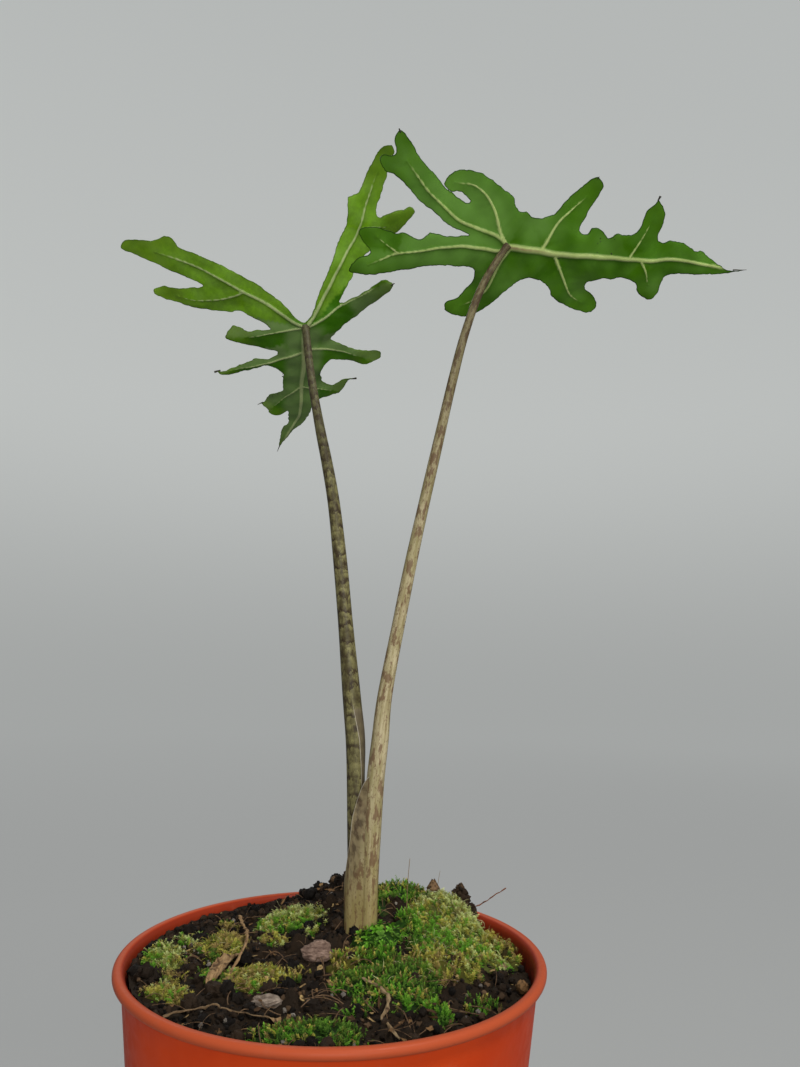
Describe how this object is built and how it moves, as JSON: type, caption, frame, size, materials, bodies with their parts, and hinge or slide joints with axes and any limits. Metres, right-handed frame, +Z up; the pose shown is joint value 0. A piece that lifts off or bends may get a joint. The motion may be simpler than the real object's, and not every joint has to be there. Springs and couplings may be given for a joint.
{
  "type": "potted alocasia portei aurea",
  "caption": "Young house plant with deeply lobed leaves on tall mottled stems, in a round tapered plant pot of mossy peat.",
  "frame": {"origin": "middle of the pot's flat base, on the surface it stands on", "axes": "+Z up along the pot's axis, +X to the right of the picture's view, +Y away from its viewer"},
  "size_m": [0.2112, 0.1522, 0.3482],
  "materials": {
    "terracotta_plastic": "satin",
    "peat": "rough, moist",
    "corm": "rough",
    "stem_dark": "satin, mottled dark brown",
    "stem_pale": "satin, mottled red-brown",
    "leaf": "soft satin",
    "young_leaf": "soft satin",
    "moss": "soft, fine",
    "pale_moss": "soft, fine",
    "dry_litter": "dry, matte"
  },
  "bodies": {
    "root": {"pot": "terracotta_plastic", "soil": "peat", "corm": "corm", "petiole_left": "stem_dark", "petiole_right": "stem_pale", "blade_left": "young_leaf", "blade_right": "leaf", "moss_leafy_front": "moss", "moss_green_front": "moss", "moss_pale_mound": "pale_moss", "moss_green_back": "moss", "moss_pale_back": "pale_moss", "moss_tan_left": "pale_moss", "moss_rim_left": "pale_moss", "moss_yellow_left": "pale_moss", "moss_yellow_front": "pale_moss", "moss_bright_front": "moss", "moss_tuft_front": "moss", "dry_leaf_stalk": "dry_litter", "long_dry_root": "dry_litter", "curled_dry_root": "dry_litter", "reddish_twig": "dry_litter", "bark_chip_right": "dry_litter", "bark_chip_front": "dry_litter", "pink_bark_lump": "dry_litter"}
  },
  "joints": []
}
